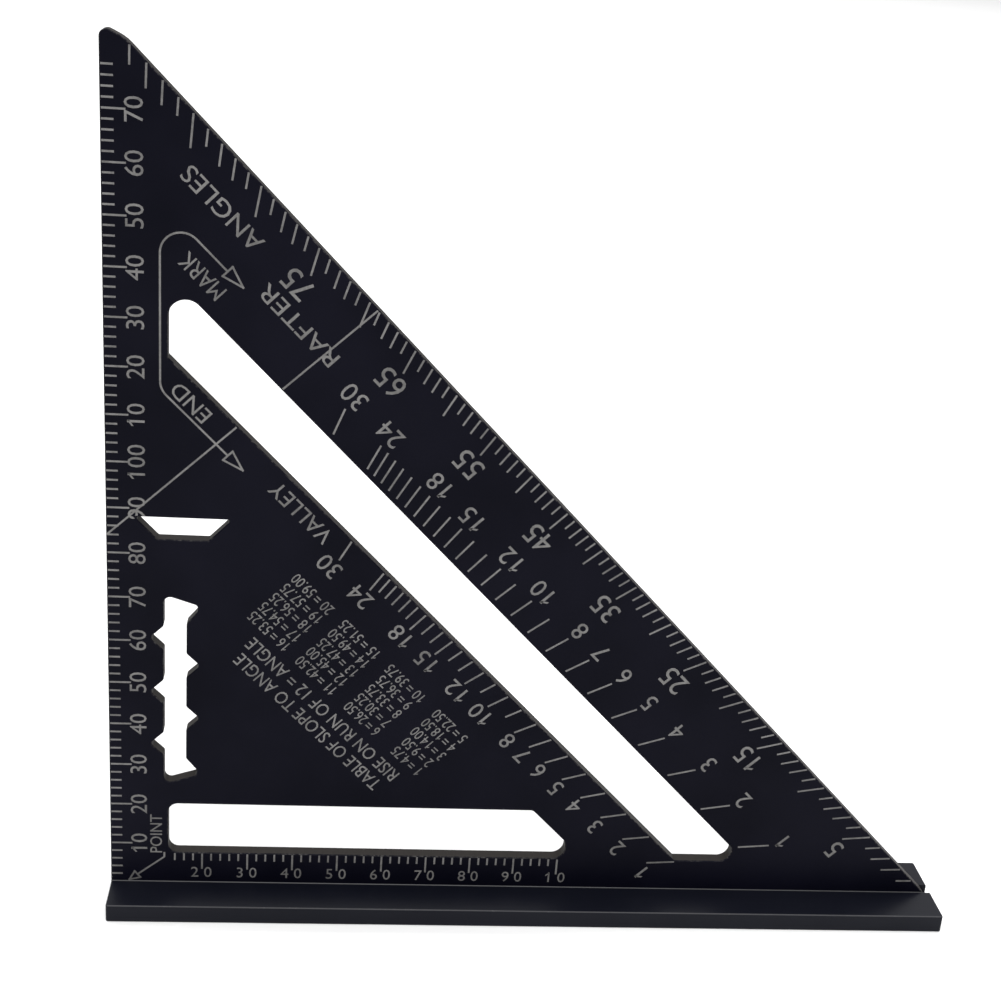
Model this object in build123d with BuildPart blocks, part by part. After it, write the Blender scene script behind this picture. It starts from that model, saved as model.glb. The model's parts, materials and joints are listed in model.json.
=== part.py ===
"""Speed square: a triangular blade seated in a T fence, with engraved and filled scales.

Frame: millimetres, +Z up.  The square stands on its fence.  The origin is the centre of the
fence's underside, +X runs along the fence from the heel to the toe, and the graduated face
of the blade looks along -Y.  Layout sizes on the blade are taken from the heel corner, where
the upright edge meets the ledge: "across" runs along the ledge and "up" runs up the edge.
"""

from build123d import *
import os
from math import atan, atan2, ceil, cos, degrees, floor, hypot, radians, sin, sqrt, tan

os.makedirs("parts", exist_ok=True)

# ---------------------------------------------------------------- driving dimensions

# Blade
leg = 187.6                # each short side, heel to the sharp corner it would have
blade_thickness = 3.0
nose_drop = 2.55           # the sharp upper tip is cut off this far down the upright edge
nose_run = 4.8             # and this far along, on the slope
nose_radius = 1.4
nose_blend_radius = 8.0
edge_break = 0.2           # chamfer round both faces of the blade

# Fence
flange_reach = 9.4         # ledge width on each side of the blade
fence_thickness = 4.2
toe_overhang = 1.8         # fence beyond the toe of the blade
fence_corner_radius = 0.5  # plan view, at the four ends
fence_edge_radius = 0.3
groove_depth = 2.0         # how far the blade is let into the fence
groove_clearance = 0.05    # each side of the blade in its groove

# Long slot above the ledge
slot_margin = 12.5         # upright edge to the slots
ledge_slot_base = 7.7      # ledge to the slot
ledge_slot_height = 12.5
ledge_slot_radius = 2.2
slot_end_width = 4.4       # short upright at the end of the slot
slot_end_radius = 1.6
slot_toe_radius = 2.8      # lower corner at the end of each long slot
web_width = 15.0           # slanted slot to the other openings, square to the slope

# Slanted slot behind the slope
rail_width = 25.5          # slope to the slot, square to the slope
slope_slot_width = 11.8
slope_slot_end = 3.6       # short upright at the end of the slot
slope_slot_radius = 3.5    # rounded upper end

# Notched scribing slot
scribe_left = 11.6         # upright edge to the slot
scribe_width = 4.75
scribe_gap = 8.7           # ledge slot to the first notch
notch_pitch = 12.7
notch_depth = 2.9          # to the sharp corner that its rounded tip would have
notch_half_height = 2.8
notch_headroom = 10.0      # last notch to the window, at least
notch_tip_radius = 0.9
notch_shoulder_radius = 0.8
scribe_end_gap = 1.4       # the first and last notch to the slot's ends
scribe_end_reach = 2.3     # how far each end corner stands out past the slot's side
scribe_end_lean = 18.0     # degrees that each end is out of level
scribe_end_radius = 0.8
scribe_corner_radius = 1.4

# Small trapezium window above the scribing slot
window_centre = 15.6       # upright edge to its centre
window_top_width = 19.8
window_base_width = 10.4
window_height = 4.85
window_corner_radius = 0.4

# Engraving
mark_width = 0.4
mark_depth = 0.15
mark_edge_gap = 0.25       # bare metal between a mark and the edge that it starts from
pivot_across = 2.4         # the point on the ledge that every angular scale is struck from

# Millimetre scale up the edge, which the scale under the slot follows
scale_step = 2
edge_short = 2.3
edge_long = 4.5
edge_nose_margin = 9.0     # bare metal below the sharp tip

# Millimetre scale under the ledge slot
slot_short = 1.8
slot_long = 4.0
slot_scale_margin = 1.2    # each end of the slot to the scale

# Degree scale on the slope, depths square to the slope
degree_short = 2.6
degree_medium = 3.4
degree_long = 5.0

# Common rafter scale, rise on a run of 12
common_run = 12
common_start = 1.2         # slanted slot to the scale
common_depth = 5.5

# Hip and valley rafter scale, rise on a run of 17
hip_run = 17
hip_short = 3.7
hip_long = 4.8
rafter_rises = [*range(1, 25), 30]
labelled_rises = [1, 2, 3, 4, 5, 6, 7, 8, 10, 12, 15, 18, 24, 30]

# Layout guides
guide_side_gap = 1.5       # slanted slot to the guide beside it
guide_bend = 4.1
guide_upper_gap = 8.9      # slanted slot to the guide, square to the slope
guide_lower_gap = 5.8
arrow_length = 4.3
arrow_width = 2.7
upper_arrow_drop = 1.9     # upper corner of the slanted slot down to the upper arrow's tip
lower_arrow_drop = 23.2    # lower corner of the slanted slot down to the lower arrow's tip
sight_line_rise = 0.55     # base of the window up to where the sight line leaves the edge
sight_line_angle = 43.2    # degrees
leader_slot_gap = 0.8      # ledge slot to the upper end of the pivot's leader
leader_drop = 1.2
leader_radius = 0.3
pivot_arrow_tip = (1.6, 0.4)   # from the pivot
pivot_arrow_base = (3.4, 1.8)  # from the pivot
pivot_arrow_width = 2.0

# ---------------------------------------------------------------- worked-out values

fence_length = leg + toe_overhang
fence_width = blade_thickness + 2 * flange_reach
slope_run = sqrt(2)        # across + up grows by this for each millimetre square to the slope

# Each of these is across + up, the same all along a line parallel to the slope.
slot_upper_line = leg - rail_width * slope_run
slot_lower_line = slot_upper_line - slope_slot_width * slope_run
ledge_slot_line = slot_lower_line - web_width * slope_run

ledge_slot_top = ledge_slot_base + ledge_slot_height
ledge_slot_end = ledge_slot_line - ledge_slot_base - slot_end_width
slope_slot_toe = slot_upper_line - ledge_slot_base - slope_slot_end

window_right = window_centre + window_top_width / 2
window_base = ledge_slot_line - window_right - window_height
scribe_right = scribe_left + scribe_width
first_notch = ledge_slot_top + scribe_gap
notch_room = window_base - notch_headroom - first_notch
slope_notches = [first_notch + i * notch_pitch for i in range(1 + floor(notch_room / notch_pitch))]
edge_notches = [up + notch_pitch / 2 for up in slope_notches[:-1]]

blade_plane = Plane(
    origin=(-fence_length / 2, 0, fence_thickness), x_dir=(1, 0, 0), z_dir=(0, -1, 0)
)
face_plane = blade_plane.offset(blade_thickness / 2)

# ---------------------------------------------------------------- shared geometry


def round_corners(sketch, corners, radius):
    """Round the sketch's corners that stand at these points."""
    nearest = [min(sketch.vertices(), key=lambda v: hypot(v.X - x, v.Y - y)) for x, y in corners]
    fillet(nearest, radius)


def stroke(start, end, overrun=0):
    """One engraved stroke with square ends, added to the sketch."""
    run, rise = end[0] - start[0], end[1] - start[1]
    with Locations(((start[0] + end[0]) / 2, (start[1] + end[1]) / 2)):
        length = hypot(run, rise) + 2 * overrun
        Rectangle(length, mark_width, rotation=degrees(atan2(rise, run)))


def on_ray(foot, angle, line):
    """The point where a ray from a foot meets a line parallel to the slope."""
    reach = (line - foot[0] - foot[1]) / (cos(radians(angle)) + sin(radians(angle)))
    return foot[0] + reach * cos(radians(angle)), foot[1] + reach * sin(radians(angle))


def scale_mark(angle, line, depth):
    """A stroke aimed at the pivot, from a line to this depth inside it, square to the slope."""
    pivot = (pivot_across, 0)
    stroke(on_ray(pivot, angle, line), on_ray(pivot, angle, line - depth * slope_run))


def arrow(base, tip, width):
    """An open arrowhead.  Its stem ends at the middle of its base."""
    run, rise = tip[0] - base[0], tip[1] - base[1]
    side = width / 2 / hypot(run, rise)
    left = (base[0] - rise * side, base[1] + run * side)
    right = (base[0] + rise * side, base[1] - run * side)
    for start, end in ((left, right), (left, tip), (right, tip)):
        stroke(start, end, overrun=mark_width / 2)


# ---------------------------------------------------------------- fence

with BuildPart() as fence:
    Box(fence_length, fence_width, fence_thickness, align=(Align.CENTER, Align.CENTER, Align.MIN))
    fillet(fence.edges().filter_by(Axis.Z), fence_corner_radius)
    fillet(fence.faces().filter_by(Axis.Z).edges(), fence_edge_radius)
    with Locations((0, 0, fence_thickness)):
        Box(
            fence_length,
            blade_thickness + 2 * groove_clearance,
            groove_depth,
            align=(Align.CENTER, Align.CENTER, Align.MAX),
            mode=Mode.SUBTRACT,
        )
fence.part.label = "fence"

# ---------------------------------------------------------------- engraved marks

with BuildPart() as edge_scale_marks:
    with BuildSketch(face_plane):
        for height in range(scale_step, floor(leg - edge_nose_margin) + 1, scale_step):
            length = edge_long if height % 10 == 0 else edge_short
            stroke((mark_edge_gap, height), (mark_edge_gap + length, height))
    extrude(amount=-mark_depth)
edge_scale_marks.part.label = "edge_scale_marks"

with BuildPart() as slot_scale_marks:
    with BuildSketch(face_plane):
        first = scale_step * ceil((slot_margin + slot_scale_margin) / scale_step)
        last = floor(ledge_slot_end - slot_scale_margin)
        for across in range(first, last + 1, scale_step):
            length = slot_long if across % 10 == 0 else slot_short
            top = ledge_slot_base - mark_edge_gap
            stroke((across, top), (across, top - length))
    extrude(amount=-mark_depth)
slot_scale_marks.part.label = "slot_scale_marks"

with BuildPart() as degree_scale_marks:
    with BuildSketch(face_plane):
        for angle in range(1, 90):
            off_five = min(angle % 5, 5 - angle % 5)
            depth = (degree_long, degree_short, degree_medium)[off_five]
            scale_mark(angle, leg - mark_edge_gap * slope_run, depth)
    extrude(amount=-mark_depth)
degree_scale_marks.part.label = "degree_scale_marks"

with BuildPart() as common_rafter_marks:
    with BuildSketch(face_plane):
        for rise in rafter_rises:
            outer_line = slot_upper_line + (common_start + common_depth) * slope_run
            scale_mark(degrees(atan(rise / common_run)), outer_line, common_depth)
    extrude(amount=-mark_depth)
common_rafter_marks.part.label = "common_rafter_marks"

with BuildPart() as hip_rafter_marks:
    with BuildSketch(face_plane):
        for rise in rafter_rises:
            depth = hip_long if rise in labelled_rises else hip_short
            outer_line = slot_lower_line - mark_edge_gap * slope_run
            scale_mark(degrees(atan(rise / hip_run)), outer_line, depth)
    extrude(amount=-mark_depth)
hip_rafter_marks.part.label = "hip_rafter_marks"

# One guide runs round the upper end of the slanted slot, from one arrow to the other.
guide_upper_line = slot_upper_line + guide_upper_gap * slope_run
guide_lower_line = slot_lower_line - guide_lower_gap * slope_run
upper_tip_height = slot_upper_line - slot_margin - upper_arrow_drop
lower_tip_height = slot_lower_line - slot_margin - lower_arrow_drop
upper_tip = (guide_upper_line - upper_tip_height, upper_tip_height)
lower_tip = (guide_lower_line - lower_tip_height, lower_tip_height)
guide_left = slot_margin - guide_side_gap
arrow_slide = arrow_length / slope_run
upper_base = (upper_tip[0] - arrow_slide, upper_tip[1] + arrow_slide)
lower_base = (lower_tip[0] - arrow_slide, lower_tip[1] + arrow_slide)

# The sight line crosses the blade from edge to slope, and the slanted slot breaks it.
sight_foot = (0, window_base + sight_line_rise)
sight_stops = [
    (sight_foot[1] + mark_edge_gap * slope_run, slot_lower_line - mark_edge_gap * slope_run),
    (slot_upper_line + mark_edge_gap * slope_run, leg - mark_edge_gap * slope_run),
]

# A leader runs from beside the ledge slot down to the pivot.
leader_top = (slot_margin - leader_slot_gap, ledge_slot_base)
leader_bend = (leader_top[0], leader_top[1] - leader_drop)
pivot_tip = (pivot_across + pivot_arrow_tip[0], pivot_arrow_tip[1])
pivot_base = (pivot_across + pivot_arrow_base[0], pivot_arrow_base[1])

with BuildPart() as layout_guides:
    with BuildSketch(face_plane):
        with BuildLine():
            FilletPolyline(
                upper_base,
                (guide_left, guide_upper_line - guide_left),
                (guide_left, guide_lower_line - guide_left),
                lower_base,
                radius=guide_bend,
            )
        trace(line_width=mark_width)
    with BuildSketch(face_plane):
        with BuildLine():
            FilletPolyline(leader_top, leader_bend, pivot_base, radius=leader_radius)
        trace(line_width=mark_width)
    with BuildSketch(face_plane):
        arrow(upper_base, upper_tip, arrow_width)
        arrow(lower_base, lower_tip, arrow_width)
        arrow(pivot_base, pivot_tip, pivot_arrow_width)
        for near_line, far_line in sight_stops:
            near = on_ray(sight_foot, sight_line_angle, near_line)
            far = on_ray(sight_foot, sight_line_angle, far_line)
            stroke(near, far)
    extrude(amount=-mark_depth)
    for crossed in (edge_scale_marks, degree_scale_marks, common_rafter_marks, hip_rafter_marks):
        add(crossed.part, mode=Mode.SUBTRACT)
layout_guides.part.label = "layout_guides"

engraving = [
    edge_scale_marks,
    slot_scale_marks,
    degree_scale_marks,
    common_rafter_marks,
    hip_rafter_marks,
    layout_guides,
]

# ---------------------------------------------------------------- blade

with BuildPart() as blade:
    with BuildSketch(blade_plane) as blade_outline:
        nose_top = (0, leg - nose_drop)
        nose_end = (nose_run, leg - nose_run)
        foot = [(0, -groove_depth), (leg, -groove_depth), (leg, 0)]
        Polygon(*foot, nose_end, nose_top, align=None)
        round_corners(blade_outline, [nose_top], nose_radius)
        round_corners(blade_outline, [nose_end], nose_blend_radius)
    extrude(amount=blade_thickness / 2, both=True)

    # Long slot above the ledge, cut off at its end along the slope.
    ledge_slot_shoulder = (ledge_slot_line - ledge_slot_top, ledge_slot_top)
    with BuildSketch(blade_plane) as ledge_slot:
        Polygon(
            (slot_margin, ledge_slot_base),
            (ledge_slot_end, ledge_slot_base),
            (ledge_slot_end, ledge_slot_base + slot_end_width),
            ledge_slot_shoulder,
            (slot_margin, ledge_slot_top),
            align=None,
        )
        heel_corners = [(slot_margin, ledge_slot_base), (slot_margin, ledge_slot_top)]
        round_corners(ledge_slot, heel_corners, ledge_slot_radius)
        end_corners = [ledge_slot_shoulder, (ledge_slot_end, ledge_slot_base + slot_end_width)]
        round_corners(ledge_slot, end_corners, slot_end_radius)
        round_corners(ledge_slot, [(ledge_slot_end, ledge_slot_base)], slot_toe_radius)
    extrude(amount=blade_thickness / 2, both=True, mode=Mode.SUBTRACT)

    # Slanted slot behind the slope.
    with BuildSketch(blade_plane) as slope_slot:
        Polygon(
            (slot_margin, slot_lower_line - slot_margin),
            (slot_lower_line - ledge_slot_base, ledge_slot_base),
            (slope_slot_toe, ledge_slot_base),
            (slope_slot_toe, ledge_slot_base + slope_slot_end),
            (slot_margin, slot_upper_line - slot_margin),
            align=None,
        )
        round_corners(slope_slot, [(slot_margin, slot_upper_line - slot_margin)], slope_slot_radius)
        upper_toe = (slope_slot_toe, ledge_slot_base + slope_slot_end)
        round_corners(slope_slot, [upper_toe], slot_end_radius)
        round_corners(slope_slot, [(slope_slot_toe, ledge_slot_base)], slot_toe_radius)
    extrude(amount=blade_thickness / 2, both=True, mode=Mode.SUBTRACT)

    # Notched scribing slot: its ends lean away from the first and the last notch.
    end_reach = scribe_right + scribe_end_reach
    end_rise = (end_reach - scribe_left) * tan(radians(scribe_end_lean))
    lower_end = [
        (scribe_left, first_notch - scribe_end_gap - end_rise),
        (end_reach, first_notch - scribe_end_gap),
    ]
    upper_end = [
        (end_reach, slope_notches[-1] + scribe_end_gap),
        (scribe_left, slope_notches[-1] + scribe_end_gap + end_rise),
    ]
    with BuildSketch(blade_plane) as scribe_slot:
        slope_side = []
        for up in slope_notches:
            below = (scribe_right, up - notch_half_height)
            above = (scribe_right, up + notch_half_height)
            slope_side += [below, (scribe_right + notch_depth, up), above]
        slope_side = [(end_reach, first_notch), *slope_side[2:-2], (end_reach, slope_notches[-1])]
        edge_side = []
        for up in reversed(edge_notches):
            above = (scribe_left, up + notch_half_height)
            below = (scribe_left, up - notch_half_height)
            edge_side += [above, (scribe_left - notch_depth, up), below]
        Polygon(*lower_end, *slope_side, *upper_end, *edge_side, align=None)
        tips = [p for p in slope_side + edge_side if p[0] not in (scribe_left, scribe_right)]
        shoulders = [p for p in slope_side + edge_side if p not in tips]
        round_corners(scribe_slot, tips, notch_tip_radius)
        round_corners(scribe_slot, shoulders, notch_shoulder_radius)
        round_corners(scribe_slot, [lower_end[1], upper_end[0]], scribe_end_radius)
        round_corners(scribe_slot, [lower_end[0], upper_end[1]], scribe_corner_radius)
    extrude(amount=blade_thickness / 2, both=True, mode=Mode.SUBTRACT)

    # Trapezium window.
    with BuildSketch(blade_plane) as window:
        corners = [
            (window_centre - window_base_width / 2, window_base),
            (window_centre + window_base_width / 2, window_base),
            (window_right, window_base + window_height),
            (window_centre - window_top_width / 2, window_base + window_height),
        ]
        Polygon(*corners, align=None)
        round_corners(window, corners, window_corner_radius)
    extrude(amount=blade_thickness / 2, both=True, mode=Mode.SUBTRACT)

    chamfer(blade.faces().filter_by(Axis.Y).edges(), edge_break)

    for marks in engraving:
        add(marks.part, mode=Mode.SUBTRACT)
blade.part.label = "blade"

# ---------------------------------------------------------------- files

for piece in (fence, blade, *engraving):
    export_step(piece.part, f"parts/{piece.part.label}.step")
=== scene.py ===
"""Looks of the speed square: black anodised blade and fence, etched scales and figures."""

import json
import math

import bmesh
import bpy
from mathutils import Euler, Matrix, Vector


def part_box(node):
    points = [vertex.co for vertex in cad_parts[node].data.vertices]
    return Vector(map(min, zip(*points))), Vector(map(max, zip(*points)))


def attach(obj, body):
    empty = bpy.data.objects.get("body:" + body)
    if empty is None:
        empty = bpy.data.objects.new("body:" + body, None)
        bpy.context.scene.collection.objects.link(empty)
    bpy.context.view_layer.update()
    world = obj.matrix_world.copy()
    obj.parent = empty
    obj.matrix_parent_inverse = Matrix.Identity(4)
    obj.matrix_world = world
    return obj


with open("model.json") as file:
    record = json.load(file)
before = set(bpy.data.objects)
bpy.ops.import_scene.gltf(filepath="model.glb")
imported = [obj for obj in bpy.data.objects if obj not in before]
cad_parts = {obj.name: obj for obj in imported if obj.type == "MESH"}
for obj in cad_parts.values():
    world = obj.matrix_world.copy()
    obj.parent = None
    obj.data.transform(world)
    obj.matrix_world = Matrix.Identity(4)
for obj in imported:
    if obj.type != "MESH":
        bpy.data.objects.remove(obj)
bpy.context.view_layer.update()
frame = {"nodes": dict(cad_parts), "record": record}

# ---------------------------------------------------------------- places and layout sizes

mm = 0.001
blade_low, blade_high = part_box("blade")
blade_length = blade_high.x - blade_low.x
front_face = blade_low.y
back_face = blade_high.y
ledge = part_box("fence")[1].z

# The rest is in millimetres on the blade's front face, from the heel corner: "across" runs
# along the ledge and "up" runs up the edge.  A line parallel to the slope is given by its
# sum of across and up, which grows by the slope's run for each millimetre square to it.
leg = blade_length / mm
slope_run = math.sqrt(2)
rail_width = 25.5
slope_slot_width = 11.8
slot_lower_line = leg - (rail_width + slope_slot_width) * slope_run
web_width = 15.0
edge_break = 0.2
window_centre = 15.6
window_top_width = 19.8
window_base_width = 10.4
window_height = 4.85
window_top = slot_lower_line - web_width * slope_run - window_centre - window_top_width / 2

# The angular scales
pivot_across = 2.4         # every one is struck from this point on the ledge
common_run = 12
hip_run = 17
labelled_rises = [1, 2, 3, 4, 5, 6, 7, 8, 10, 12, 15, 18, 24, 30]

# ---------------------------------------------------------------- sizes of the lettering

figure_proud = 0.02        # how far letters stand out of the face
figure_sunk = 0.03         # and how far they reach into it
merge_distance = 0.0005    # between two corners of a letter that are one
along_edge = 90.0          # degrees that lettering is turned, so that it reads up the edge
along_slope = 135.0        # and up the slope, with its feet towards the slope

# The built-in font, in em
cap_height = 0.69
figure_advance = 0.5
narrow_advances = {".": 0.22, " ": 0.24, "=": 0.5}
flag_rise = 0.17           # the flag of the figure 1
flag_reach = 0.15
flag_thickness = 0.085

# Figures of each scale: their height, the step from one to the next, and their place
edge_figure_height = 3.5
edge_figure_step = 2.6
edge_figure_across = 6.2
slot_figure_height = 2.6
slot_figure_step = 2.9
slot_figure_up = 2.65
slot_figure_shift = 0.15   # towards the heel from their mark
degree_figure_height = 4.6
degree_figure_step = 3.3
degree_label_line = leg - 11.9
rafter_step_share = 0.74   # of the figures' height
common_figure_height = 3.95
common_mark_line = leg - 26.6
common_label_line = leg - 22.4
hip_figure_height = 3.8
hip_label_line = slot_lower_line - 10.7

# Words: across, up, height, turn and length
name_places = {
    "ANGLES": (22.8, 152.3, 3.5, along_slope, 20.0),
    "MARK": (19.0, 139.0, 3.4, along_slope, 10.5),
    "RAFTER": (37.9, 130.1, 3.4, along_slope, 20.5),
    "END": (17.0, 113.1, 3.2, along_slope, 9.2),
    "VALLEY": (39.5, 90.3, 3.4, along_slope, 16.5),
    "POINT": (9.9, 12.5, 2.6, along_edge, 9.8),
}
heading_places = {
    "TABLE OF SLOPE TO ANGLE": (42.6, 41.2, 3.0, along_slope, 44.0),
    "RISE ON RUN OF 12 = ANGLE": (45.7, 44.3, 3.0, along_slope, 46.0),
}

# The table's blocks of rows
table_figure_height = 2.45
table_figure_step = 1.36
table_first_block = Vector((68.8, 36.8))
table_last_block = Vector((38.0, 67.5))
table_blocks = 4
table_rows = 5
table_row_pitch = 3.15

# The bead where the blade meets the ledge
bead_width = 0.18
bead_sink = 0.05

# ---------------------------------------------------------------- shader node groups


def new_group(name, inputs, outputs):
    """An empty shader group with these sockets, and its input and output nodes."""
    group = bpy.data.node_groups.new(name, "ShaderNodeTree")
    for label, kind, value in inputs:
        socket = group.interface.new_socket(label, in_out="INPUT", socket_type=kind)
        if value is not None:
            socket.default_value = value
    for label, kind in outputs:
        group.interface.new_socket(label, in_out="OUTPUT", socket_type=kind)
    start = group.nodes.new("NodeGroupInput")
    end = group.nodes.new("NodeGroupOutput")
    return group, start, end


def feed(tree, values, sockets):
    """Links each value to its socket, or sets it there if it is a plain number or colour."""
    for value, socket in zip(values, sockets):
        if isinstance(value, bpy.types.NodeSocket):
            tree.links.new(value, socket)
        elif isinstance(value, tuple):
            socket.default_value = (*value, 1.0)
        else:
            socket.default_value = value


def math_node(tree, operation, *values, clamp=False):
    node = tree.nodes.new("ShaderNodeMath")
    node.operation = operation
    node.use_clamp = clamp
    feed(tree, values, node.inputs)
    return node.outputs[0]


def ramp_node(tree, value, low, high):
    """Zero below low, one above high and smooth between them."""
    node = tree.nodes.new("ShaderNodeMapRange")
    node.interpolation_type = "SMOOTHSTEP"
    node.inputs["From Min"].default_value = low
    node.inputs["From Max"].default_value = high
    tree.links.new(value, node.inputs["Value"])
    return node.outputs["Result"]


def between(tree, share, low, high):
    """A number between two plain ones, by a share from zero to one."""
    node = tree.nodes.new("ShaderNodeMapRange")
    node.inputs["To Min"].default_value = low
    node.inputs["To Max"].default_value = high
    tree.links.new(share, node.inputs["Value"])
    return node.outputs["Result"]


def noise_node(tree, vector, scale, detail=2.0, roughness=0.5):
    node = tree.nodes.new("ShaderNodeTexNoise")
    node.inputs["Scale"].default_value = scale
    node.inputs["Detail"].default_value = detail
    node.inputs["Roughness"].default_value = roughness
    tree.links.new(vector, node.inputs["Vector"])
    return node.outputs["Fac"]


def stretched(tree, vector, scale):
    """A pattern's coordinates, drawn out along the axes whose scale is small."""
    node = tree.nodes.new("ShaderNodeMapping")
    node.inputs["Scale"].default_value = scale
    tree.links.new(vector, node.inputs["Vector"])
    return node.outputs["Vector"]


def mixed_values(tree, share, first, second):
    """A number between two, which are sockets or plain numbers."""
    node = tree.nodes.new("ShaderNodeMix")
    feed(tree, (share, first, second), (node.inputs["Factor"], node.inputs[2], node.inputs[3]))
    return node.outputs[0]


def mixed_colours(tree, share, first, second):
    """A colour between two, which are sockets or plain colours."""
    node = tree.nodes.new("ShaderNodeMix")
    node.data_type = "RGBA"
    feed(tree, (share, first, second), (node.inputs["Factor"], node.inputs[6], node.inputs[7]))
    return node.outputs[2]


def make_anodised_grain():
    """Fine bead-blasted grain with slow cloudiness, as an anodised face has."""
    group, start, end = new_group(
        "anodised_grain",
        [("Vector", "NodeSocketVector", None)],
        [("Cloud", "NodeSocketFloat"), ("Grain", "NodeSocketFloat"), ("Height", "NodeSocketFloat")],
    )
    place = start.outputs["Vector"]
    cloud = noise_node(group, place, scale=28.0, detail=3.0, roughness=0.55)
    grain = noise_node(group, place, scale=2600.0, roughness=0.6)
    dimple = noise_node(group, place, scale=5200.0, detail=1.0)
    group.links.new(ramp_node(group, cloud, 0.3, 0.7), end.inputs["Cloud"])
    group.links.new(grain, end.inputs["Grain"])
    group.links.new(math_node(group, "MULTIPLY", dimple, grain), end.inputs["Height"])
    return group


def make_cutter_marks():
    """Marks that a milling cutter leaves on a wall, across the plate's thickness."""
    group, start, end = new_group(
        "cutter_marks",
        [("Vector", "NodeSocketVector", None)],
        [("Tone", "NodeSocketFloat"), ("Height", "NodeSocketFloat")],
    )
    place = start.outputs["Vector"]
    across_wall = stretched(group, place, (1.0, 0.12, 1.0))
    part_way = stretched(group, place, (1.0, 0.3, 1.0))
    fine = noise_node(group, across_wall, scale=2200.0, detail=3.0, roughness=0.65)
    broad = noise_node(group, part_way, scale=420.0)
    broad_share = math_node(group, "MULTIPLY", broad, 0.4)
    group.links.new(math_node(group, "MULTIPLY_ADD", fine, 0.6, broad_share), end.inputs["Tone"])
    group.links.new(fine, end.inputs["Height"])
    return group


def make_facing():
    """How far a surface turns from the plate's two faces, as masks for its walls and edges."""
    group, start, end = new_group(
        "facing",
        [("Normal", "NodeSocketVector", None)],
        [("Wall", "NodeSocketFloat"), ("Edge", "NodeSocketFloat")],
    )
    split = group.nodes.new("ShaderNodeSeparateXYZ")
    group.links.new(start.outputs["Normal"], split.inputs[0])
    flat = math_node(group, "ABSOLUTE", split.outputs["Y"])
    wall = math_node(group, "SUBTRACT", 1.0, ramp_node(group, flat, 0.25, 0.5))
    off_face = math_node(group, "SUBTRACT", 1.0, ramp_node(group, flat, 0.85, 0.98))
    edge = math_node(group, "SUBTRACT", off_face, wall, clamp=True)
    group.links.new(wall, end.inputs["Wall"])
    group.links.new(edge, end.inputs["Edge"])
    return group


def make_rubbed():
    """Patchy wear that breaks a mask up, as handling rubs an edge, down to a least share; a least
    share above nothing is a painted highlight kept all along the mask.
    """
    group, start, end = new_group(
        "rubbed",
        [
            ("Vector", "NodeSocketVector", None),
            ("Mask", "NodeSocketFloat", 1.0),
            ("Steady_sheen", "NodeSocketFloat", 0.0),
        ],
        [("Wear", "NodeSocketFloat")],
    )
    place = start.outputs["Vector"]
    patch_noise = noise_node(group, place, scale=160.0, detail=3.0, roughness=0.6)
    speck_noise = noise_node(group, place, scale=1500.0, roughness=0.6)
    patch = ramp_node(group, patch_noise, 0.35, 0.65)
    speck = ramp_node(group, speck_noise, 0.4, 0.7)
    broken = math_node(group, "MULTIPLY", patch, speck)
    kept = math_node(group, "MAXIMUM", broken, start.outputs["Steady_sheen"])
    wear = math_node(group, "MULTIPLY", kept, start.outputs["Mask"])
    group.links.new(wear, end.inputs["Wear"])
    return group


anodised_grain = make_anodised_grain()
cutter_marks = make_cutter_marks()
facing = make_facing()
rubbed = make_rubbed()

# ---------------------------------------------------------------- materials

# Darkest and lightest shade of each finish
plate_face_shades = ((0.0016, 0.0017, 0.0048), (0.0036, 0.0036, 0.0082))
# The blade's walls are lighter than its faces: partly the milled finish, partly a painted highlight
# for the light the walls catch.
plate_wall_tone_and_painted_sheen = ((0.01, 0.009, 0.0083), (0.036, 0.032, 0.03))
bar_shades = ((0.0036, 0.0042, 0.008), (0.0056, 0.0062, 0.0106))
etched_shades = ((0.094, 0.0915, 0.09), (0.165, 0.161, 0.158))
sealant_shades = ((0.005, 0.0056, 0.0075), (0.014, 0.0147, 0.0175))
floor_shades = ((0.88, 0.88, 0.88), (0.92, 0.92, 0.92))
plate_rubbed_shade = (0.06, 0.057, 0.056)
# The fence's edge colour is partly rubbed wear and partly a painted highlight along every rounded
# edge.
bar_edge_wear_and_painted_sheen = (0.075, 0.075, 0.079)


def new_material(name):
    """A material with its tree, its shader and a node that gives the surface's coordinates."""
    material = bpy.data.materials.new(name)
    material.use_nodes = True
    tree = material.node_tree
    shader = tree.nodes["Principled BSDF"]
    place = tree.nodes.new("ShaderNodeTexCoord")
    return material, tree, shader, place


def use_group(tree, group, **links):
    """A group's node, with each named input linked to its source."""
    node = tree.nodes.new("ShaderNodeGroup")
    node.node_tree = group
    for label, source in links.items():
        tree.links.new(source, node.inputs[label])
    return node


def add_bump(tree, shader, height, strength, distance):
    """Relief from a height, with its distance in millimetres."""
    bump = tree.nodes.new("ShaderNodeBump")
    bump.inputs["Strength"].default_value = strength
    bump.inputs["Distance"].default_value = distance * mm
    tree.links.new(height, bump.inputs["Height"])
    tree.links.new(bump.outputs["Normal"], shader.inputs["Normal"])


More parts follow.
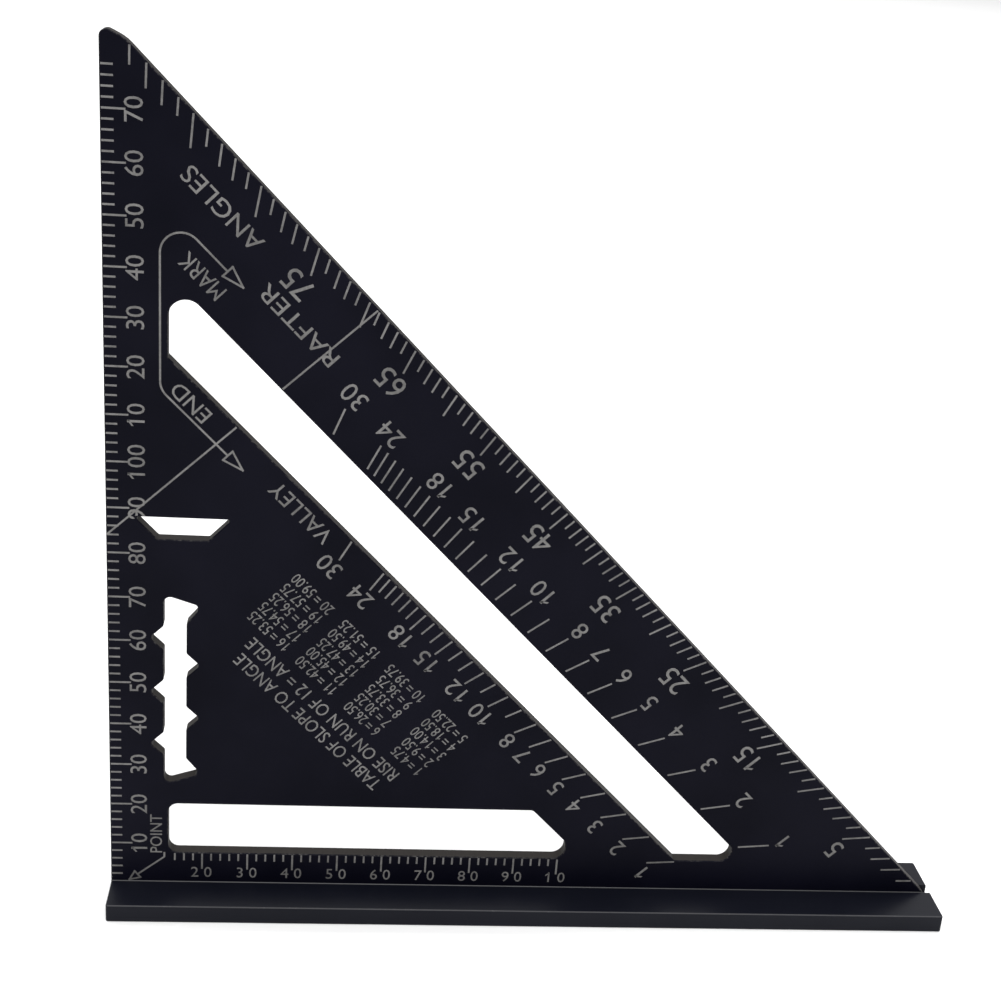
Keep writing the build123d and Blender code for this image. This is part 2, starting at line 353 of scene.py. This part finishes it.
def black_anodised_plate():
    """The blade: anodised faces, milled walls made lighter partly by their finish and partly as
    painted highlight, and edges with the black rubbed thin.
    """
    material, tree, shader, place = new_material("black_anodised_plate")
    grain = use_group(tree, anodised_grain, Vector=place.outputs["Object"])
    cutter = use_group(tree, cutter_marks, Vector=place.outputs["Object"])
    turned = use_group(tree, facing, Normal=place.outputs["Normal"])
    wear = use_group(tree, rubbed, Vector=place.outputs["Object"], Mask=turned.outputs["Edge"])
    on_wall = turned.outputs["Wall"]
    face = mixed_colours(tree, grain.outputs["Cloud"], *plate_face_shades)
    # Every wall gets the lighter colour, which is milled finish and painted highlight together.
    wall = mixed_colours(tree, cutter.outputs["Tone"], *plate_wall_tone_and_painted_sheen)
    colour = mixed_colours(tree, on_wall, face, wall)
    colour = mixed_colours(tree, wear.outputs["Wear"], colour, plate_rubbed_shade)
    tree.links.new(colour, shader.inputs["Base Color"])
    face_sheen = between(tree, grain.outputs["Grain"], 0.34, 0.5)
    wall_sheen = between(tree, cutter.outputs["Tone"], 0.42, 0.65)
    tree.links.new(mixed_values(tree, on_wall, face_sheen, wall_sheen), shader.inputs["Roughness"])
    tree.links.new(math_node(tree, "MULTIPLY", on_wall, 0.35), shader.inputs["Metallic"])
    shader.inputs["Specular IOR Level"].default_value = 0.05
    height = mixed_values(tree, on_wall, grain.outputs["Height"], cutter.outputs["Height"])
    add_bump(tree, shader, height, strength=0.35, distance=0.02)
    return material


def black_anodised_bar():
    """The fence: the same black on an extruded bar, with faint draw lines along it, and rounded edges
    lightened by wear and by a painted highlight.
    """
    material, tree, shader, place = new_material("black_anodised_bar")
    grain = use_group(tree, anodised_grain, Vector=place.outputs["Object"])
    drawn = stretched(tree, place.outputs["Object"], (0.01, 1.0, 1.0))
    draw_lines = noise_node(tree, drawn, scale=3200.0, roughness=0.6)
    split = tree.nodes.new("ShaderNodeSeparateXYZ")
    tree.links.new(place.outputs["Normal"], split.inputs[0])
    sideways = math_node(tree, "ABSOLUTE", split.outputs["Y"])
    upward = math_node(tree, "ABSOLUTE", split.outputs["Z"])
    edge = ramp_node(tree, math_node(tree, "MULTIPLY", sideways, upward), 0.12, 0.4)
    wear = use_group(tree, rubbed, Vector=place.outputs["Object"], Mask=edge)
    # A share of 0.6 lightens every rounded edge all along: a painted highlight on the edges, with
    # patchy wear on top of it.
    wear.inputs["Steady_sheen"].default_value = 0.6
    colour = mixed_colours(tree, grain.outputs["Cloud"], *bar_shades)
    colour = mixed_colours(tree, wear.outputs["Wear"], colour, bar_edge_wear_and_painted_sheen)
    tree.links.new(colour, shader.inputs["Base Color"])
    tree.links.new(between(tree, draw_lines, 0.3, 0.5), shader.inputs["Roughness"])
    shader.inputs["Specular IOR Level"].default_value = 0.12
    height = math_node(tree, "ADD", draw_lines, grain.outputs["Height"])
    add_bump(tree, shader, height, strength=0.25, distance=0.015)
    return material


def etched_marks():
    """The marks and figures: matt, slightly mottled grey."""
    material, tree, shader, place = new_material("etched_marks")
    mottle = noise_node(tree, place.outputs["Object"], scale=900.0, detail=3.0, roughness=0.65)
    burn = noise_node(tree, place.outputs["Object"], scale=90.0)
    share = ramp_node(tree, math_node(tree, "ADD", mottle, burn), 0.7, 1.3)
    tree.links.new(mixed_colours(tree, share, *etched_shades), shader.inputs["Base Color"])
    tree.links.new(between(tree, mottle, 0.55, 0.8), shader.inputs["Roughness"])
    shader.inputs["Specular IOR Level"].default_value = 0.35
    add_bump(tree, shader, mottle, strength=0.3, distance=0.01)
    return material


def seam_sealant():
    """The thin bead where the blade meets the ledge."""
    material, tree, shader, place = new_material("seam_sealant")
    mottle = noise_node(tree, place.outputs["Object"], scale=700.0, detail=3.0, roughness=0.6)
    share = ramp_node(tree, mottle, 0.35, 0.65)
    tree.links.new(mixed_colours(tree, share, *sealant_shades), shader.inputs["Base Color"])
    tree.links.new(between(tree, mottle, 0.35, 0.55), shader.inputs["Roughness"])
    add_bump(tree, shader, mottle, strength=0.3, distance=0.02)
    return material


def pale_floor():
    """The floor's nearly white, matt paint."""
    material, tree, shader, place = new_material("pale_floor")
    cloud = noise_node(tree, place.outputs["Object"], scale=3.0)
    tree.links.new(mixed_colours(tree, cloud, *floor_shades), shader.inputs["Base Color"])
    tree.links.new(between(tree, cloud, 0.7, 0.8), shader.inputs["Roughness"])
    shader.inputs["Specular IOR Level"].default_value = 0.1
    return material


def give_material(piece, material):
    piece.data.materials.clear()
    piece.data.materials.append(material)


etched = etched_marks()
sealant = seam_sealant()
give_material(frame["nodes"]["blade"], black_anodised_plate())
give_material(frame["nodes"]["fence"], black_anodised_bar())
for subpart in frame["record"]["subparts"]:
    if subpart["material_slot"] == "marks":
        give_material(frame["nodes"][subpart["node"]], etched)

# ---------------------------------------------------------------- making pieces


def mesh_from(work, name):
    """A mesh of a bmesh, which is freed."""
    mesh = bpy.data.meshes.new(name)
    work.to_mesh(mesh)
    work.free()
    return mesh


def link_object(name, data):
    thing = bpy.data.objects.new(name, data)
    bpy.context.scene.collection.objects.link(thing)
    return thing


def evaluated_mesh(thing):
    """A new mesh of what an object's curve or modifiers make."""
    bpy.context.view_layer.update()
    return bpy.data.meshes.new_from_object(thing.evaluated_get(bpy.context.evaluated_depsgraph_get()))


def add_piece(work, name, material):
    """A piece of the square from a bmesh.  It rides on the square's one body."""
    piece = link_object(name, mesh_from(work, name))
    give_material(piece, material)
    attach(piece, "root")


def merge_shell(work):
    """Joins letters' loose seams and points every face outwards."""
    bmesh.ops.remove_doubles(work, verts=work.verts, dist=merge_distance * mm)
    bmesh.ops.recalc_face_normals(work, faces=work.faces)


def extruded(outline, along):
    """A bmesh of a flat outline drawn out along a vector."""
    work = bmesh.new()
    profile = work.faces.new([work.verts.new(corner) for corner in outline])
    grown = bmesh.ops.extrude_face_region(work, geom=[profile])
    moved = [v for v in grown["geom"] if isinstance(v, bmesh.types.BMVert)]
    bmesh.ops.translate(work, verts=moved, vec=along)
    bmesh.ops.recalc_face_normals(work, faces=work.faces)
    return work


def on_face(across, up):
    """A layout place on the blade's front face."""
    return Vector((blade_low.x + across * mm, front_face, ledge + up * mm))


# ---------------------------------------------------------------- lettering


def text_mesh(text):
    """Closed, thin letters of the built-in font on the XY plane, one em high."""
    curve = bpy.data.curves.new("letters", "FONT")
    curve.body = text
    curve.resolution_u = 3
    curve.extrude = 0.5
    writer = link_object("letters", curve)
    letters = evaluated_mesh(writer)
    bpy.data.objects.remove(writer)
    return letters


def add_flag(letters):
    """The built-in font's 1 is a bare stem, so it gets the flag that an engraved 1 has."""
    stem_left = min(v.co.x for v in letters.vertices)
    stem_top = max(v.co.y for v in letters.vertices)
    work = bmesh.new()
    work.from_mesh(letters)
    made = bmesh.ops.create_cube(work, size=1.0)["verts"]
    for corner in made:
        outer = corner.co.x < 0
        high = corner.co.y > 0
        corner.co.x = stem_left + (-flag_reach if outer else flag_thickness)
        corner.co.y = stem_top - (flag_rise if outer else 0.0) - (0.0 if high else flag_thickness)
    work.to_mesh(letters)
    work.free()


glyphs = {}


def glyph(character):
    """A figure's mesh, made once."""
    if character not in glyphs:
        glyphs[character] = text_mesh(character)
        if character == "1":
            add_flag(glyphs[character])
    return glyphs[character]


def place_letters(work, letters, shift, size, across, up, turn):
    """Adds letters to a bmesh: shift is in em, size is the em's width and height."""
    upright = Matrix.Rotation(math.radians(90), 4, "X")
    spin = Matrix.Rotation(math.radians(turn), 4, "Z")
    lift = Matrix.Translation((0, 0, (figure_proud - figure_sunk) / 2 * mm))
    thickness = (figure_proud + figure_sunk) * mm
    stretch = Matrix.Diagonal((size[0] * mm, size[1] * mm, thickness, 1))
    spot = Matrix.Translation(on_face(across, up))
    copy = letters.copy()
    copy.transform(spot @ upright @ spin @ lift @ stretch @ Matrix.Translation(shift))
    work.from_mesh(copy)
    bpy.data.meshes.remove(copy)


def write_figures(work, text, across, up, height, step, turn):
    """Figures centred on a place.  They are narrowed where their step leaves less room."""
    em = height / cap_height
    spread = step / figure_advance
    ink = em if len(text) == 1 else min(em, spread)
    advances = [narrow_advances.get(c, figure_advance) for c in text]
    start = -sum(advances) / 2
    for character, advance in zip(text, advances):
        if character != " ":
            middle = (start + advance / 2) * spread / ink
            shift = (middle - advance / 2, -cap_height / 2, 0)
            place_letters(work, glyph(character), shift, (ink, em), across, up, turn)
        start += advance


def write_words(work, text, across, up, height, turn, length):
    """Words centred on a place and stretched to a length."""
    letters = text_mesh(text)
    left = min(v.co.x for v in letters.vertices)
    right = max(v.co.x for v in letters.vertices)
    size = (length / (right - left), height / cap_height)
    place_letters(work, letters, (-(left + right) / 2, -cap_height / 2, 0), size, across, up, turn)
    bpy.data.meshes.remove(letters)


def finish_lettering(work, name):
    """One piece of all the letters in a bmesh."""
    merge_shell(work)
    add_piece(work, name, etched)


def on_ray(angle, line):
    """Where a ray from the scales' pivot meets a line parallel to the slope."""
    reach = (line - pivot_across) / (math.cos(angle) + math.sin(angle))
    return Vector((pivot_across + reach * math.cos(angle), reach * math.sin(angle)))


def label_place(angle, mark_line, label_line):
    """Midway between the ray itself and the foot of the square from the mark's outer end."""
    drop = (mark_line - label_line) / 2
    foot = on_ray(angle, mark_line) - Vector((drop, drop))
    return (on_ray(angle, label_line) + foot) / 2


def window_cutter():
    """A prism through the blade's window and its chamfered rim."""
    half_top = window_top_width / 2 + 2 * edge_break
    half_base = window_base_width / 2 + 2 * edge_break
    top = window_top + edge_break
    base = window_top - window_height - edge_break
    corners = (
        (window_centre - half_top, top),
        (window_centre + half_top, top),
        (window_centre + half_base, base),
        (window_centre - half_base, base),
    )
    outline = [on_face(across, up) - Vector((0, mm, 0)) for across, up in corners]
    return mesh_from(extruded(outline, (0, 2 * mm, 0)), "window_cutter")


def cut_by_window(work):
    """Takes away what would hang over the window from the letters in a bmesh."""
    merge_shell(work)
    letters = bpy.data.meshes.new("letters")
    work.to_mesh(letters)
    cut = link_object("cut_letters", letters)
    cutter = link_object("window_cutter", window_cutter())
    boolean = cut.modifiers.new("window", "BOOLEAN")
    boolean.operation = "DIFFERENCE"
    boolean.solver = "EXACT"
    boolean.object = cutter
    left = evaluated_mesh(cut)
    work.clear()
    work.from_mesh(left)
    for thing in (cut, cutter):
        bpy.data.objects.remove(thing)


def write_edge_figure(work, up):
    """Tens of millimetres up the edge, which count to 100 and start again."""
    shown = up if up <= 100 else up - 100
    size = (edge_figure_height, edge_figure_step)
    write_figures(work, str(shown), edge_figure_across, up, *size, along_edge)


def edge_figures():
    """The figures up the edge.  The window cuts one of them short."""
    work = bmesh.new()
    cut_short = 90
    write_edge_figure(work, cut_short)
    cut_by_window(work)
    for up in range(10, 171, 10):
        if up != cut_short:
            write_edge_figure(work, up)
    finish_lettering(work, "edge_scale_figures")


def slot_figures():
    """Tens of millimetres under the ledge slot, split by their marks, in two figures each."""
    work = bmesh.new()
    size = (slot_figure_height, slot_figure_step)
    for across in range(20, 101, 10):
        shown = str(across)[:2]
        write_figures(work, shown, across - slot_figure_shift, slot_figure_up, *size, 0.0)
    finish_lettering(work, "slot_scale_figures")


def degree_figures():
    """Every tenth degree from 5, along the slope."""
    work = bmesh.new()
    for angle in range(5, 76, 10):
        place = label_place(math.radians(angle), leg, degree_label_line)
        size = (degree_figure_height, degree_figure_step)
        write_figures(work, str(angle), *place, *size, along_slope)
    finish_lettering(work, "degree_scale_figures")


def rafter_figures(name, run, mark_line, label_line, height):
    """The rise that each labelled mark of a rafter scale stands for."""
    work = bmesh.new()
    for rise in labelled_rises:
        place = label_place(math.atan(rise / run), mark_line, label_line)
        size = (height, height * rafter_step_share)
        write_figures(work, str(rise), *place, *size, along_slope)
    finish_lettering(work, name)


def scale_names():
    """The names of the angular scales, of the guide's ends and of the point on the ledge."""
    work = bmesh.new()
    for text, place in name_places.items():
        write_words(work, text, *place)
    finish_lettering(work, "scale_names")


def pitch_table():
    """Blocks of rows: a rise on the common run, and its angle to a quarter of a degree."""
    work = bmesh.new()
    for text, place in heading_places.items():
        write_words(work, text, *place)
    row_step = Vector((1.0, 1.0)) * table_row_pitch / slope_run
    for rise in range(1, table_blocks * table_rows + 1):
        block, row = divmod(rise - 1, table_rows)
        place = table_first_block.lerp(table_last_block, block / (table_blocks - 1))
        place += row_step * (row - (table_rows - 1) / 2)
        angle = round(math.degrees(math.atan(rise / common_run)) * 4) / 4
        size = (table_figure_height, table_figure_step)
        write_figures(work, f"{rise} = {angle:.2f}", *place, *size, along_slope)
    finish_lettering(work, "pitch_table")


edge_figures()
slot_figures()
degree_figures()
rafter_figures(
    "common_rafter_figures", common_run, common_mark_line, common_label_line, common_figure_height
)
rafter_figures("hip_rafter_figures", hip_run, slot_lower_line, hip_label_line, hip_figure_height)
scale_names()
pitch_table()

# ---------------------------------------------------------------- seam beads


def seam_bead(name, wall, outward):
    """A small bead in the corner of blade and ledge, along the whole blade."""
    width = bead_width * mm
    sink = bead_sink * mm
    corners = ((-sink, -sink), (width, -sink), (width, sink), (sink, width), (-sink, width))
    outline = [(blade_low.x, wall + outward * out, ledge + up) for out, up in corners]
    add_piece(extruded(outline, (blade_length - width, 0, 0)), name, sealant)


seam_bead("front_seam_bead", front_face, -1)
seam_bead("back_seam_bead", back_face, 1)

# ---------------------------------------------------------------- stage, light and camera


def add_floor(reach):
    work = bmesh.new()
    bmesh.ops.create_grid(work, x_segments=1, y_segments=1, size=reach)
    floor = link_object("floor", mesh_from(work, "floor"))
    give_material(floor, pale_floor())


def add_softbox(name, place, target, size, power):
    """A square area light at a place, turned to its target."""
    data = bpy.data.lights.new(name, "AREA")
    data.shape = "SQUARE"
    data.size = size
    data.energy = power
    light = link_object(name, data)
    light.location = place
    light.rotation_mode = "QUATERNION"
    light.rotation_quaternion = (Vector(target) - Vector(place)).to_track_quat("-Z", "Y")


def add_sky(strength):
    """Even white light from all round."""
    world = bpy.data.worlds.new("studio")
    world.use_nodes = True
    background = world.node_tree.nodes["Background"]
    background.inputs["Color"].default_value = (1.0, 1.0, 1.0, 1.0)
    background.inputs["Strength"].default_value = strength
    bpy.context.scene.world = world


def add_camera(place, turned, lens):
    data = bpy.data.cameras.new("camera")
    data.lens = lens
    data.sensor_width = 36.0
    data.clip_start = 0.01
    camera = link_object("camera", data)
    camera.location = place
    camera.rotation_euler = Euler([math.radians(angle) for angle in turned])
    bpy.context.scene.camera = camera


add_floor(reach=12.0)
add_sky(strength=0.6)
add_softbox("overhead_softbox", (0.0, 1.6, 2.6), target=(0.0, 1.6, 0.0), size=4.0, power=105.0)
add_softbox("front_softbox", (0.0, -0.55, 0.95), target=(0.0, 0.0, 0.09), size=0.8, power=8.0)
add_camera((-0.04865, -0.31321, 0.22084), turned=(68.71, -4.239, -4.659), lens=58.31)
bpy.context.scene.view_settings.view_transform = "Standard"
